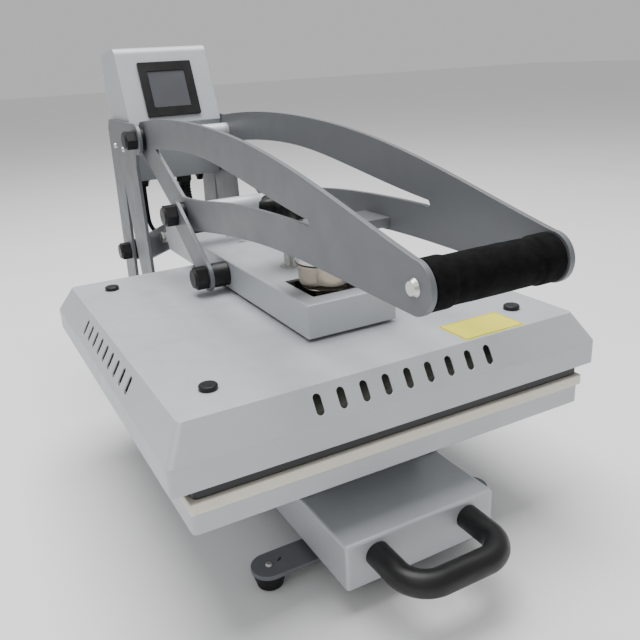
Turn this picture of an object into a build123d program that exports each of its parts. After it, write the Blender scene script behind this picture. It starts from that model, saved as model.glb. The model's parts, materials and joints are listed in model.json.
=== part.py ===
"""Swing-arm heat press with a toggle handle, a magnetic lock and a slide-out lower tray.

Millimetres, +Z up, the operator stands at -Y. The origin is the bottom centre of the whole
press, on the surface that its rubber feet stand on. Each function makes one group of pieces.
"""
from build123d import *
from math import acos, atan2, cos, degrees, hypot, pi, sin, tan
import os

# ---- driving dimensions: platens and their cover -------------------------------------
PLATEN_Y = -70.0          # centre of both platens
PAD_W = 380.0
PLATEN_W = 372.0
PLATEN_D = 404.0
COVER_W = 405.0
COVER_D = 413.0
COVER_TOP = 202.0
COVER_INSET = 15.3        # how far the sloping flank leans in
COVER_FLANK = 26.1        # height of the sloping flank
COVER_SKIRT = 21.5        # height of the upright skirt below it
COVER_WALL = 1.2
PLATEN_T = 14.0
PAD_T = 9.8
TRAY_H = 18.2
TRAY_WALL = 3.0
PRESS_GAP = 0.3           # the closed platen rests this far above the pad
POST_X = 150.0            # bolts that join cover and platen
POST_Y = 152.0
VENTS = 9
VENT_PITCH = 20.4
VENT_L = 17.0
VENT_W = 6.8
PLUG_R = 7.5
PLUG_H = 4.0

# ---- stack of heights, from the feet up -----------------------------------------------
FOOT_H = 16.0
BAR_T = 4.0
BASE_T = 4.0
BASE_TOP = FOOT_H + BAR_T + BASE_T
DRAWER_BOTTOM = 27.2
DRAWER_TOP = 69.0
COVER_BOTTOM = COVER_TOP - COVER_FLANK - COVER_SKIRT
PLATEN_BOTTOM = 144.6
PAD_TOP = PLATEN_BOTTOM - PRESS_GAP
TRAY_TOP = PAD_TOP - PAD_T
TRAY_BOTTOM = TRAY_TOP - TRAY_H

# ---- linkage pivots, as (y, z) ----------------------------------------------------------
HANDLE_PIVOT = (216.0, 347.0)
LINK_TOP = (82.0, 274.0)
LINK_FOOT = (0.0, 221.0)
ARM_PIVOT = (331.0, 182.0)
GRIP = (-357.0, 298.0)
GAS_FOOT = (250.0, 45.0)
GAS_HEAD = (240.0, 208.0)
GAS_X = 25.0

# ---- thicknesses and offsets across the press -------------------------------------------
AXLE_R = 6.0
RUNNING = 0.08            # radial clearance of a turning fit
GAP = 0.4                 # side clearance between bodies that pass each other
PLATE_T = 4.0
HANDLE_X = 54.0           # inner face of each handle plate
OUTER_X = 64.0            # inner face of uprights and links
CHANNEL_X = 45.0          # outer face of the arm channel
CHANNEL_T = 2.3
BRACKET_T = 3.7
NUT_L = 15.0
NUT_R = 12.6
BASE_X = 68.0
BASE_FRONT = -282.0
BASE_REAR = 375.0

# ---- arm, pressure screw and magnet ------------------------------------------------------
CHANNEL_BOTTOM = 205.2
CHANNEL_TOP = 235.7
CHANNEL_FRONT = -186.5
EAR = (192.0, 232.0)      # centre of the rounded ear at the rear of the channel, as (y, z)
EAR_R = 20.0
ARM_BOLT = (222.0, 218.5)
SCREW_Y = -64.0
SCREW_R = 6.0
SCREW_FOOT = 211.3
KNOB_Z = 297.0
MAGNET_Y = -139.0
MAGNET_R = 25.5
MAGNET_RIM_R = 28.0
MAGNET_TOP = 258.5
MAGNET_BASE = 233.0
MAGNET_WELL = 58.0        # square hole in the channel that the magnet stands in
STRAP_Z = 206.2
STRAP_T = 3.3
STRIKE_Z = 284.5
STRIKE_T = 9.0

# ---- control box, as (y, z) corners of its side ------------------------------------------
BOX_X = 62.0
BOX_T = 1.5
BOX_BEND = 11.0
BOX_FLOOR = 286.0
GLAND_END = 271.0         # underside of the cable glands, where the leads come out
BOX_CORNERS = [
    (292.6, 456.0),
    (255.5, 360.5),
    (280.0, BOX_FLOOR),
    (375.0, BOX_FLOOR),
    (364.0, 450.0),
]
BEZEL_SIZE = 72.0
BEZEL_T = 3.4
BEZEL_DROP = 6.3          # how far the bezel sits below the middle of the face
BEZEL_HOLE = 62.0
SCREEN_W = 50.0
SCREEN_H = 47.0
BOX_BOLTS = [(324.0, 332.0), (282.0, 330.0)]
GLANDS = [(14.0, 296.0, 11.0), (-36.0, 328.0, 9.5), (49.0, 330.0, 6.5)]   # x, y, radius
INLET_AT = (-30.0, -48.0)
SWITCH_AT = (30.0, -46.0)

# ---- leads from the box to the clamp on the arm --------------------------------------------
CONDUIT_R = 8.5
SENSOR_R = 3.0
CONDUIT = [(14, 296, 271), (14, 296, 250), (6, 250, 223), (0, 186, 221), (0, 130, 221)]
SENSOR = [
    (-36, 328, 271),
    (-36, 328, 238),
    (-36, 324, 214),
    (-32, 296, 206),
    (-27, 262, 212),
    (-23, 225, 220),
    (-22, 178, 221),
    (-22, 130, 221),
]

# ---- drawer and its slides ----------------------------------------------------------------
DRAWER_X = 75.0
DRAWER_FRONT = -288.5
DRAWER_REAR = 120.0
DRAWER_T = 2.0
PULL_R = 11.0
PULL_X = 46.0
PULL_REACH = 53.0
PULL_Z = 52.5
PULL_BEND = 25.0

# ---- feet and brace ---------------------------------------------------------------------------
FOOT_X = 112.0
FOOT_Y_FRONT = -216.0
FOOT_Y_REAR = 330.0
FOOT_TOP_R = 15.5
FOOT_LOW_R = 11.5
TAB_W = 32.0
BRACE_Y = 290.0
BRACE_BOLTS = [(238.0, 44.0), (238.0, 78.0), (350.0, 44.0), (350.0, 78.0)]

SIDES = (("left", -1), ("right", 1))


def save(piece, name):
    """Label one finished piece and write it as its own file."""
    piece.part.label = name
    export_step(piece.part, f"parts/{name}.step")


def side_plane(x):
    """Upright plane facing along X, whose sketch axes are Y and Z."""
    return Plane.YZ.offset(x)


def towards(start, end):
    """Plane at one (y, z) point whose normal runs towards another, both on X = 0."""
    return Plane(
        origin=(0, start[0], start[1]),
        x_dir=(1, 0, 0),
        z_dir=(0, end[0] - start[0], end[1] - start[1]),
    )


def span(start, end):
    """Distance between two (y, z) points."""
    return hypot(end[0] - start[0], end[1] - start[1])


# ================================ base ======================================================
def make_base():
    """Flat base plate, two foot bars, four rubber feet and their screws."""
    base_middle = (BASE_FRONT + BASE_REAR) / 2
    with BuildPart() as plate:
        with BuildSketch(Plane.XY.offset(BASE_TOP - BASE_T)):
            with Locations((0, base_middle)):
                RectangleRounded(2 * BASE_X, BASE_REAR - BASE_FRONT, 6)
        extrude(amount=BASE_T)
    save(plate, "base_plate")

    with BuildPart() as bars:
        with BuildSketch(Plane.XY.offset(FOOT_H)):
            for bar_y in (FOOT_Y_FRONT, FOOT_Y_REAR):
                with Locations((0, bar_y)):
                    SlotOverall(2 * FOOT_X + TAB_W, TAB_W)
                for side in (-1, 1):
                    with Locations((side * FOOT_X, bar_y)):
                        Circle(3.2, mode=Mode.SUBTRACT)
                    with Locations((side * (FOOT_X - 11), bar_y + 2)):
                        SlotOverall(6, 2, rotation=35, mode=Mode.SUBTRACT)
        extrude(amount=BAR_T)
    save(bars, "foot_bars")

    with BuildPart() as feet:
        with BuildSketch(Plane.XZ) as foot_profile:
            with BuildLine():
                Polyline((0, 0), (FOOT_LOW_R - 2, 0), (FOOT_LOW_R, 1.6), (FOOT_TOP_R, FOOT_H),
                         (0, FOOT_H), close=True)
            make_face()
        foot = revolve(foot_profile.sketch, axis=Axis.Z, mode=Mode.PRIVATE)
        with Locations(*foot_places()):
            add(foot)
        with Locations(*[(x, y, FOOT_H) for x, y, _ in foot_places()]):
            Hole(2.6, depth=9)
    save(feet, "rubber_feet")


def foot_places():
    """Floor points under the four feet."""
    return [(s * FOOT_X, y, 0) for s in (-1, 1) for y in (FOOT_Y_FRONT, FOOT_Y_REAR)]


def make_frame_screws():
    """Pan-head screws of the feet, hex bolts of the brace and side screws of the box."""
    with BuildPart() as screws:
        for x, y, _ in foot_places():
            with BuildSketch(Plane.XY.offset(FOOT_H - 8)):
                with Locations((x, y)):
                    Circle(2.5)
            extrude(amount=8 + BAR_T)
            with BuildSketch(Plane.XY.offset(FOOT_H + BAR_T)):
                with Locations((x, y)):
                    Circle(3.4)
            extrude(amount=1.8, taper=30)
        for side in (-1, 1):
            with BuildSketch(side_plane(side * (OUTER_X + PLATE_T))):
                with Locations(*BRACE_BOLTS):
                    RegularPolygon(7.5, 6)
            extrude(amount=side * 5.3)
            with BuildSketch(side_plane(side * (OUTER_X + PLATE_T))):
                with Locations(*BOX_BOLTS):
                    Circle(3.8)
            extrude(amount=side * 2.6, taper=20)
    save(screws, "frame_screws")


# ================================ uprights ===================================================
def make_uprights():
    """A plate each side: a rounded nose at the handle pivot and two splayed legs below."""
    nose_y, nose_z = HANDLE_PIVOT
    nose_r = 19.0
    for name, side in SIDES:
        with BuildPart() as upright:
            with BuildSketch(side_plane(side * OUTER_X)):
                with BuildLine():
                    Polyline(
                        (nose_y, nose_z + nose_r),
                        (346, nose_z + nose_r),
                        (356, nose_z + nose_r - 12),
                        (358, 283),
                        (BASE_REAR, BASE_TOP),
                        (324, BASE_TOP),
                        (306, 284),
                        (250, BASE_TOP),
                        (214, BASE_TOP),
                        (229, 312),
                        (nose_y, nose_z),
                        close=True,
                    )
                make_face()
                with Locations(HANDLE_PIVOT):
                    Circle(nose_r)
                with Locations(HANDLE_PIVOT, ARM_PIVOT):
                    Circle(AXLE_R, mode=Mode.SUBTRACT)
            extrude(amount=side * PLATE_T)
        save(upright, f"upright_{name}")


def make_cross_brace():
    """Folded channel between the uprights, standing on the base plate."""
    wall = 3.0
    with BuildPart() as brace:
        with BuildSketch(Plane.XZ.offset(-BRACE_Y)):
            with Locations((0, BASE_TOP)):
                Rectangle(2 * OUTER_X, wall, align=(Align.CENTER, Align.MIN))
            for side in (-1, 1):
                with Locations((side * (OUTER_X - wall / 2), BASE_TOP)):
                    Rectangle(wall, 72, align=(Align.CENTER, Align.MIN))
        extrude(amount=70, both=True)
        with BuildSketch(side_plane(-OUTER_X)):
            with Locations(*BRACE_BOLTS):
                Circle(4.1)
        extrude(amount=2 * OUTER_X, mode=Mode.SUBTRACT)
    save(brace, "cross_brace")


# ================================ axles =======================================================
def cap_nut(side, start_x, place):
    """Sketch and grow one hex cap outward along X in the current part."""
    crown_l = 2.5
    with BuildSketch(side_plane(side * start_x)) as body:
        with Locations(place):
            RegularPolygon(NUT_R, 6)
    extrude(body.sketch, amount=side * (NUT_L - crown_l))
    with BuildSketch(side_plane(side * (start_x + NUT_L - crown_l))) as crown:
        with Locations(place):
            Circle(NUT_R * cos(pi / 6))
    extrude(crown.sketch, amount=side * crown_l, taper=30)


def bore(x_half, place, radius):
    """Cut one hole along X through the current part."""
    with BuildSketch(side_plane(-x_half)) as hole:
        with Locations(place):
            Circle(radius)
    extrude(hole.sketch, amount=2 * x_half, mode=Mode.SUBTRACT)


def make_axles():
    """Shafts of the handle and arm pivots with their cap nuts and black spacers."""
    nut_x = OUTER_X + PLATE_T
    with BuildPart() as axles:
        with BuildSketch(side_plane(-nut_x - 8)):
            with Locations(HANDLE_PIVOT, ARM_PIVOT):
                Circle(AXLE_R)
        extrude(amount=2 * (nut_x + 8))
    save(axles, "axles")

    with BuildPart() as nuts:
        for place in (HANDLE_PIVOT, ARM_PIVOT):
            for side in (-1, 1):
                cap_nut(side, nut_x, place)
        for place in (HANDLE_PIVOT, ARM_PIVOT):
            bore(nut_x + 8, place, AXLE_R)
    save(nuts, "axle_nuts")

    with BuildPart() as spacers:
        for side in (-1, 1):
            with BuildSketch(side_plane(side * (HANDLE_X + PLATE_T + GAP))):
                with Locations(HANDLE_PIVOT):
                    Circle(14)
                    Circle(AXLE_R, mode=Mode.SUBTRACT)
            extrude(amount=side * (OUTER_X - HANDLE_X - PLATE_T - GAP))
            with BuildSketch(side_plane(side * (CHANNEL_X - CHANNEL_T + GAP))):
                with Locations(ARM_PIVOT):
                    Circle(15)
                    Circle(AXLE_R, mode=Mode.SUBTRACT)
            extrude(amount=side * (OUTER_X - CHANNEL_X + CHANNEL_T - GAP))
    save(spacers, "axle_spacers")


# ================================ control box ===================================================
def make_control_box():
    """Folded case with a screen cut-out, its rear panel and the screen, inlet and board."""
    (top_y, top_z), (low_y, low_z) = BOX_CORNERS[:2]
    lean = atan2(top_z - low_z, top_y - low_y)
    middle = (
        0,
        (top_y + low_y) / 2 - BEZEL_DROP * cos(lean),
        (top_z + low_z) / 2 - BEZEL_DROP * sin(lean),
    )
    front = Plane(origin=middle, x_dir=(1, 0, 0), z_dir=(0, -sin(lean), cos(lean)))
    with BuildPart() as cavity:
        with BuildSketch(side_plane(BOX_T - BOX_X)):
            with BuildLine():
                Polyline(*BOX_CORNERS, close=True)
            make_face()
            offset(amount=-BOX_T)
        extrude(amount=2 * (BOX_X - BOX_T))
        fillet(cavity.edges().filter_by(Axis.X).sort_by(Axis.Z)[-2:], BOX_BEND - BOX_T)
        with BuildSketch(rear_plane(1)):
            Rectangle(2 * (BOX_X - BOX_T), span(BOX_CORNERS[3], BOX_CORNERS[4]) - 16)
        extrude(amount=-6)

    with BuildPart() as shell:
        with BuildSketch(side_plane(-BOX_X)):
            with BuildLine():
                Polyline(*BOX_CORNERS, close=True)
            make_face()
        extrude(amount=2 * BOX_X)
        fillet(shell.edges().filter_by(Axis.X).sort_by(Axis.Z)[-2:], BOX_BEND)
        add(cavity.part, mode=Mode.SUBTRACT)
        with BuildSketch(front):
            RectangleRounded(BEZEL_HOLE, BEZEL_HOLE, 2)
        extrude(amount=6, both=True, mode=Mode.SUBTRACT)
        with BuildSketch(Plane.XY.offset(BOX_FLOOR)):
            for x, y, gland_r in GLANDS:
                with Locations((x, y)):
                    Circle(0.55 * gland_r + 0.1)
        extrude(amount=BOX_T, mode=Mode.SUBTRACT)
    save(shell, "control_box_shell")

    with BuildPart() as bezel:
        with BuildSketch(front.offset(0.05)):
            RectangleRounded(BEZEL_SIZE, BEZEL_SIZE, 1.5)
            RectangleRounded(SCREEN_W + 0.4, SCREEN_H + 0.4, 1, mode=Mode.SUBTRACT)
        extrude(amount=BEZEL_T)
        with BuildSketch(front.offset(0.05)):
            RectangleRounded(BEZEL_HOLE - 2, BEZEL_HOLE - 2, 1.5)
            RectangleRounded(SCREEN_W + 0.4, SCREEN_H + 0.4, 1, mode=Mode.SUBTRACT)
        extrude(amount=-8)
    save(bezel, "display_bezel")

    with BuildPart() as screen:
        with BuildSketch(front.offset(-0.4)):
            RectangleRounded(SCREEN_W, SCREEN_H, 0.8)
        extrude(amount=2.6)
    save(screen, "display_screen")

    with BuildPart() as board:
        with BuildSketch(front.offset(-14)):
            Rectangle(100, 80)
        extrude(amount=-1.6)
        with BuildSketch(front.offset(-15.6)):
            with Locations((-28, -20), (26, -22)):
                Rectangle(34, 30)
            with GridLocations(22, 22, 4, 1):
                Circle(6)
        extrude(amount=-20)
    save(board, "controller_board")


def rear_plane(depth):
    """Plane of the box's rear opening, looking out along its normal."""
    low, high = BOX_CORNERS[3], BOX_CORNERS[4]
    lean = atan2(high[1] - low[1], low[0] - high[0])
    out = (0, sin(lean), cos(lean))
    origin = (0, (low[0] + high[0]) / 2, (low[1] + high[1]) / 2)
    return Plane(origin=origin, x_dir=(-1, 0, 0), z_dir=out).offset(depth)


def make_box_rear():
    """Rear panel let into the case, with a socket, a switch seat and cable glands below."""
    height = span(BOX_CORNERS[3], BOX_CORNERS[4])
    with BuildPart() as panel:
        with BuildSketch(rear_plane(-3)):
            Rectangle(2 * (BOX_X - BOX_T) - 0.4, height - 17)
            with Locations(INLET_AT):
                Rectangle(28, 22, mode=Mode.SUBTRACT)
            with Locations(SWITCH_AT):
                Rectangle(20, 28, mode=Mode.SUBTRACT)
            with Locations((0, 42)):
                with GridLocations(9, 0.1, 9, 1):
                    SlotOverall(22, 4, rotation=90, mode=Mode.SUBTRACT)
        extrude(amount=BOX_T)
    save(panel, "control_box_back")

    with BuildPart() as inlet:
        with BuildSketch(rear_plane(-3 + BOX_T)):
            with Locations(INLET_AT):
                RectangleRounded(34, 27, 3)
        extrude(amount=1.4)
        with BuildSketch(rear_plane(-3 + BOX_T)):
            with Locations(INLET_AT):
                Rectangle(27.6, 21.6)
        extrude(amount=-22)
        with BuildSketch(rear_plane(-3 + BOX_T + 1.4)):
            with Locations(INLET_AT):
                RectangleRounded(24, 16.5, 3.5)
        extrude(amount=-17, mode=Mode.SUBTRACT)
        with BuildSketch(rear_plane(-17)):
            with Locations(INLET_AT):
                with GridLocations(7, 0.1, 3, 1):
                    Rectangle(2, 4)
        extrude(amount=12)
    save(inlet, "power_inlet")

    with BuildPart() as glands:
        for x, y, gland_r in GLANDS:
            with BuildSketch(Plane.XY.offset(BOX_FLOOR)):
                with Locations((x, y)):
                    Circle(0.55 * gland_r)
            extrude(amount=gland_r)
            with BuildSketch(Plane.XY.offset(BOX_FLOOR)):
                with Locations((x, y)):
                    RegularPolygon(gland_r, 6)
            extrude(amount=GLAND_END - BOX_FLOOR + 6)
            with BuildSketch(Plane.XY.offset(GLAND_END + 6)):
                with Locations((x, y)):
                    Circle(0.85 * gland_r)
            extrude(amount=-6, taper=12)
    save(glands, "cable_glands")

    with BuildPart() as switch:
        with BuildSketch(rear_plane(-3)):
            with Locations(SWITCH_AT):
                RectangleRounded(12, 22, 1)
        extrude(amount=4.5)
        edges = switch.edges().filter_by(Axis.X)
        fillet(edges, 1.2)
    save(switch, "rocker_switch")

    with BuildPart() as seat:
        with BuildSketch(rear_plane(-3 + BOX_T)):
            with Locations(SWITCH_AT):
                RectangleRounded(24, 32, 2)
                Rectangle(13.2, 25.5, mode=Mode.SUBTRACT)
        extrude(amount=1.4)
        with BuildSketch(rear_plane(-3 + BOX_T)):
            with Locations(SWITCH_AT):
                Rectangle(19.6, 27.6)
                Rectangle(13.2, 25.5, mode=Mode.SUBTRACT)
        extrude(amount=-12)
    save(seat, "switch_frame")


# ================================ handle =======================================================
def make_handle_plates():
    """Two long curved plates with a leaf-shaped cut-out, from the pivot to the grip."""
    pivot_y, pivot_z = HANDLE_PIVOT
    boss_y, boss_z = LINK_TOP
    grip_y, grip_z = GRIP
    boss_r, pivot_r, end_r = 20.0, 21.0, 18.0
    for name, side in SIDES:
        with BuildPart() as plate:
            with BuildSketch(side_plane(side * HANDLE_X)):
                with BuildLine():
                    top = Spline(
                        (pivot_y, pivot_z + pivot_r),
                        (90, 375.5),
                        (-10, 374),
                        (-125, 364),
                        (-236, 344),
                        (-330, 322),
                        (grip_y, grip_z + end_r),
                    )
                    Line(top @ 1, (grip_y, grip_z - end_r))
                    low = Spline(
                        (grip_y, grip_z - end_r),
                        (-280, 281.5),
                        (-170, 282),
                        (-50, 273),
                        (boss_y, boss_z - boss_r),
                    )
                    strut = Polyline(low @ 1, (boss_y + 12, boss_z - 16), (pivot_y + 12, pivot_z - 18))
                    Line(strut @ 1, top @ 0)
                make_face()
                with Locations(HANDLE_PIVOT):
                    Circle(pivot_r)
                with Locations(LINK_TOP):
                    Circle(boss_r)
                with Locations(GRIP):
                    Circle(end_r)
                with BuildLine():
                    upper = Spline((168, 338), (90, 343.5), (0, 343), (-115, 330), (-222, 317))
                    tip = Spline(upper @ 1, (-224, 313.5), (-215, 312.2))
                    lower = Spline(tip @ 1, (-130, 310.5), (-50, 305), (30, 296), (82, 293))
                    Line(lower @ 1, upper @ 0)
                make_face(mode=Mode.SUBTRACT)
                with Locations(HANDLE_PIVOT):
                    Circle(AXLE_R + RUNNING, mode=Mode.SUBTRACT)
                with Locations(LINK_TOP):
                    Circle(AXLE_R, mode=Mode.SUBTRACT)
                with Locations(GRIP):
                    Circle(4, mode=Mode.SUBTRACT)
            extrude(amount=side * PLATE_T)
        save(plate, f"handle_plate_{name}")


def cross_tube(name, place, outer_r, inner_r):
    """Round tube between the two handle plates."""
    with BuildPart() as tube:
        with BuildSketch(side_plane(-HANDLE_X)):
            with Locations(place):
                Circle(outer_r)
                Circle(inner_r, mode=Mode.SUBTRACT)
        extrude(amount=2 * HANDLE_X)
    save(tube, name)


def make_handle_fittings():
    """Cross tubes, link axle, strike bar and disc, grip and its bolts."""
    cross_tube("pivot_tube", HANDLE_PIVOT, 10.5, AXLE_R + RUNNING)
    cross_tube("link_tube", LINK_TOP, 10.5, AXLE_R)
    cross_tube("grip_tube", GRIP, 12.5, 4.0)

    nut_x = OUTER_X + PLATE_T + GAP
    with BuildPart() as axle:
        with BuildSketch(side_plane(-nut_x - 8)):
            with Locations(LINK_TOP):
                Circle(AXLE_R)
        extrude(amount=2 * (nut_x + 8))
    save(axle, "link_axle")

    with BuildPart() as nuts:
        for side in (-1, 1):
            cap_nut(side, nut_x, LINK_TOP)
            with BuildSketch(side_plane(side * (HANDLE_X + PLATE_T))):
                with Locations(LINK_TOP):
                    Circle(13)
            extrude(amount=side * (OUTER_X - HANDLE_X - PLATE_T - GAP))
        bore(nut_x + 8, LINK_TOP, AXLE_R)
    save(nuts, "link_axle_nuts")

    with BuildPart() as strike:
        with BuildSketch(side_plane(-HANDLE_X)):
            with Locations((MAGNET_Y - 5, STRIKE_Z)):
                Rectangle(42, STRIKE_T, align=(Align.CENTER, Align.MIN))
        extrude(amount=2 * HANDLE_X)
        fillet(strike.edges().filter_by(Axis.X), 1.2)
        with Locations((0, MAGNET_Y, STRIKE_Z + STRIKE_T)):
            Hole(5)
    save(strike, "strike_bar")

    disc_z = MAGNET_TOP + PRESS_GAP
    disc_t = 6.0
    with BuildPart() as disc:
        with BuildSketch(Plane.XY.offset(disc_z)):
            with Locations((0, MAGNET_Y)):
                Circle(MAGNET_RIM_R - 1)
        extrude(amount=disc_t)
        chamfer(disc.edges().group_by(Axis.Z)[-1], 1)
        with BuildSketch(Plane.XY.offset(disc_z + disc_t)):
            with Locations((0, MAGNET_Y)):
                Circle(9)
        extrude(amount=STRIKE_Z - disc_z - disc_t)
        with BuildSketch(Plane.XY.offset(STRIKE_Z)):
            with Locations((0, MAGNET_Y)):
                Circle(4.9)
        extrude(amount=STRIKE_T)
        with BuildSketch(Plane.XY.offset(STRIKE_Z + STRIKE_T)):
            with Locations((0, MAGNET_Y)):
                RegularPolygon(8.5, 6)
        extrude(amount=6.5)
    save(disc, "strike_plate")

    grip_y, grip_z = GRIP
    half = HANDLE_X - 0.5
    with BuildPart() as foam:
        with BuildSketch(Plane.XY.offset(grip_z)):
            with BuildLine():
                edge = Spline(
                    (-half, grip_y + 17.4),
                    (-half + 9, grip_y + 17.2),
                    (-half + 17, grip_y + 15.8),
                    (0, grip_y + 15.6),
                    (half - 17, grip_y + 15.8),
                    (half - 9, grip_y + 17.2),
                    (half, grip_y + 17.4),
                )
                Polyline(edge @ 1, (half, grip_y + 12.5), (-half, grip_y + 12.5), edge @ 0)
            make_face()
        revolve(axis=Axis((0, grip_y, grip_z), (1, 0, 0)))
    save(foam, "grip_foam")

    with BuildPart() as bolts:
        for side in (-1, 1):
            with BuildSketch(side_plane(side * (HANDLE_X - 30))):
                with Locations(GRIP):
                    Circle(3.9)
            extrude(amount=side * (30 + PLATE_T))
            with BuildSketch(side_plane(side * (HANDLE_X + PLATE_T))):
                with Locations(GRIP):
                    Circle(6.6)
            extrude(amount=side * 2.8, taper=35)
    save(bolts, "grip_bolts")


# ================================ links ==========================================================
def make_links():
    """Flat links outside the handle plates, and the studs at their lower ends."""
    length = span(LINK_TOP, LINK_FOOT)
    turn = degrees(atan2(LINK_FOOT[1] - LINK_TOP[1], LINK_FOOT[0] - LINK_TOP[0]))
    middle = ((LINK_TOP[0] + LINK_FOOT[0]) / 2, (LINK_TOP[1] + LINK_FOOT[1]) / 2)
    with BuildPart() as links:
        for side in (-1, 1):
            with BuildSketch(side_plane(side * OUTER_X)):
                with Locations(middle):
                    SlotCenterToCenter(length, 31, rotation=turn)
                with Locations(LINK_TOP):
                    Circle(AXLE_R + RUNNING, mode=Mode.SUBTRACT)
                with Locations(LINK_FOOT):
                    Circle(AXLE_R, mode=Mode.SUBTRACT)
            extrude(amount=side * PLATE_T)
    save(links, "toggle_links")

    nut_x = OUTER_X + PLATE_T
    with BuildPart() as studs:
        for side in (-1, 1):
            cap_nut(side, nut_x, LINK_FOOT)
            with BuildSketch(side_plane(side * (CHANNEL_X + 0.5))):
                with Locations(LINK_FOOT):
                    Circle(13)
            extrude(amount=side * (OUTER_X - CHANNEL_X - 0.5))
            with BuildSketch(side_plane(side * OUTER_X)):
                with Locations(LINK_FOOT):
                    Circle(AXLE_R)
            extrude(amount=side * PLATE_T)
    save(studs, "link_studs")


# ================================ platen arm =======================================================
def make_arm():
    """Inverted channel with raised rear ears, and two brackets back to the arm pivot."""
    ear_y, ear_z = EAR
    inner = CHANNEL_X - CHANNEL_T
    with BuildPart() as channel:
        with BuildSketch(side_plane(-CHANNEL_X)):
            with BuildLine():
                Polyline(
                    (CHANNEL_FRONT, CHANNEL_BOTTOM),
                    (CHANNEL_FRONT, CHANNEL_TOP),
                    (112, CHANNEL_TOP),
                    (158, ear_z + 16),
                    (ear_y, ear_z + EAR_R),
                    (ear_y + EAR_R, ear_z),
                    (206, CHANNEL_BOTTOM),
                    close=True,
                )
            make_face()
            with Locations((ear_y - 4, ear_z - 4)):
                Circle(EAR_R + 2)
        extrude(amount=2 * CHANNEL_X)
        with BuildSketch(side_plane(-inner)):
            with Locations((CHANNEL_FRONT + CHANNEL_T, CHANNEL_BOTTOM - 30)):
                Rectangle(250, CHANNEL_TOP - CHANNEL_T - CHANNEL_BOTTOM + 30,
                          align=(Align.MIN, Align.MIN))
            with Locations((60, CHANNEL_BOTTOM - 40)):
                Rectangle(200, CHANNEL_TOP - CHANNEL_T - CHANNEL_BOTTOM + 40,
                          align=(Align.MIN, Align.MIN))
            with Locations((140, CHANNEL_BOTTOM - 40)):
                Rectangle(200, 140, align=(Align.MIN, Align.MIN))
            with Locations((60, CHANNEL_TOP)):
                Rectangle(200, 60, align=(Align.MIN, Align.MIN))
        extrude(amount=2 * inner, mode=Mode.SUBTRACT)
        with BuildSketch(Plane.XY.offset(CHANNEL_TOP - 10)):
            with Locations((0, MAGNET_Y)):
                Rectangle(MAGNET_WELL, MAGNET_WELL)
            with Locations((0, SCREW_Y)):
                Circle(10)
            with Locations((0, 62), (0, 99)):
                SlotOverall(9, 4)
        extrude(amount=20, mode=Mode.SUBTRACT)
        front_edges = channel.edges().filter_by(Axis.X).sort_by(Axis.Y)[0:2].sort_by(Axis.Z)[-1]
        fillet(front_edges, 1.6)
        long_edges = channel.edges().filter_by(Axis.Y).filter_by_position(
            Axis.Z, CHANNEL_TOP - 0.1, CHANNEL_TOP + 0.1)
        outer_edges = [edge for edge in long_edges if abs(edge.center().X) > inner + 1]
        fillet(outer_edges, 1.6)
    save(channel, "arm_channel")

    pivot_y, pivot_z = ARM_PIVOT
    with BuildPart() as brackets:
        for side in (-1, 1):
            with BuildSketch(side_plane(side * (inner - BRACKET_T))):
                with BuildLine():
                    Polyline(
                        (120, CHANNEL_BOTTOM + 1),
                        (120, 232),
                        (222, 236),
                        (pivot_y, pivot_z + 19),
                        (pivot_y, pivot_z - 19),
                        (218, 202),
                        (206, CHANNEL_BOTTOM + 1),
                        close=True,
                    )
                make_face()
                with Locations(ARM_PIVOT):
                    Circle(19)
                    Circle(AXLE_R + RUNNING, mode=Mode.SUBTRACT)
                with Locations(ARM_BOLT):
                    Circle(5, mode=Mode.SUBTRACT)
                with Locations(GAS_HEAD):
                    Circle(4, mode=Mode.SUBTRACT)
            extrude(amount=side * BRACKET_T)
    save(brackets, "arm_brackets")

    with BuildPart() as bolts:
        for side in (-1, 1):
            with BuildSketch(side_plane(side * (inner - BRACKET_T))):
                with Locations(ARM_BOLT):
                    Circle(4.9)
            extrude(amount=side * BRACKET_T)
            with BuildSketch(side_plane(side * inner)):
                with Locations(ARM_BOLT):
                    Circle(8.6)
            extrude(amount=side * 1.4)
            with BuildSketch(side_plane(side * (inner + 1.4))):
                with Locations(ARM_BOLT):
                    RegularPolygon(7.8, 6)
            extrude(amount=side * 5.3)
        with BuildSketch(side_plane(-inner + BRACKET_T)):
            with Locations(GAS_HEAD):
                Circle(3.9)
        extrude(amount=2 * (inner - BRACKET_T))
    save(bolts, "arm_bolts")


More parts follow.
